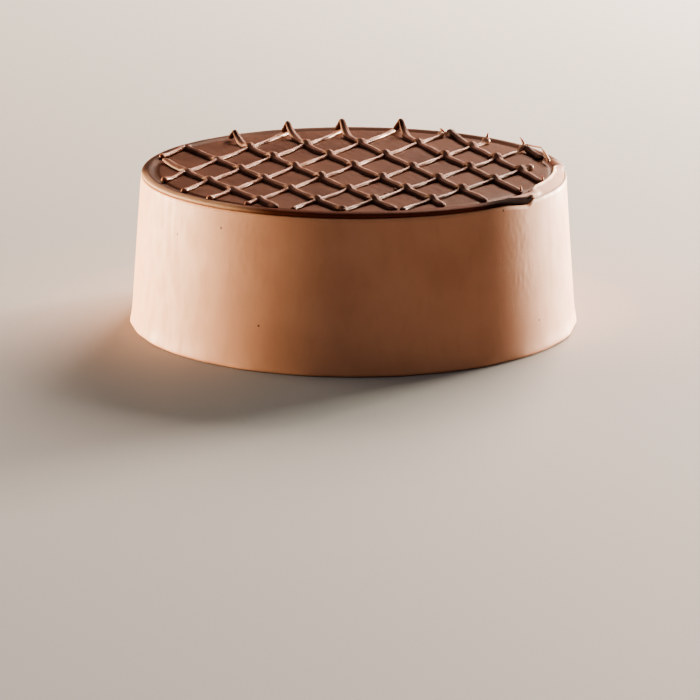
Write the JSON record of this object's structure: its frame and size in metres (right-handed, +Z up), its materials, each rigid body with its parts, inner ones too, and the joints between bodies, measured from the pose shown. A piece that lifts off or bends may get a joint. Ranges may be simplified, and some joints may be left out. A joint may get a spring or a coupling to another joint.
{
  "type": "chocolate mousse cake",
  "caption": "Round chocolate mousse cake with smooth light mousse sides, a thin dark chocolate top and a hand-piped lattice of chocolate strands; a whole uncut cake to stand on a flat surface.",
  "frame": {"origin": "middle of the flat underside of the cake", "axes": "+Z up along the axis of the round cake, -Y towards the front shown in the picture, +X to the viewer's right"},
  "size_m": [0.2142, 0.2142, 0.0809],
  "materials": {
    "mousse_coat": "smooth soft chocolate mousse coat, satin, with faint ripples and small air-bubble pits",
    "chocolate": "set dark chocolate, soft sheen, with glossier piped strands"
  },
  "bodies": {
    "root": {"mousse_body": "mousse_coat", "chocolate_top": "chocolate"}
  },
  "joints": []
}
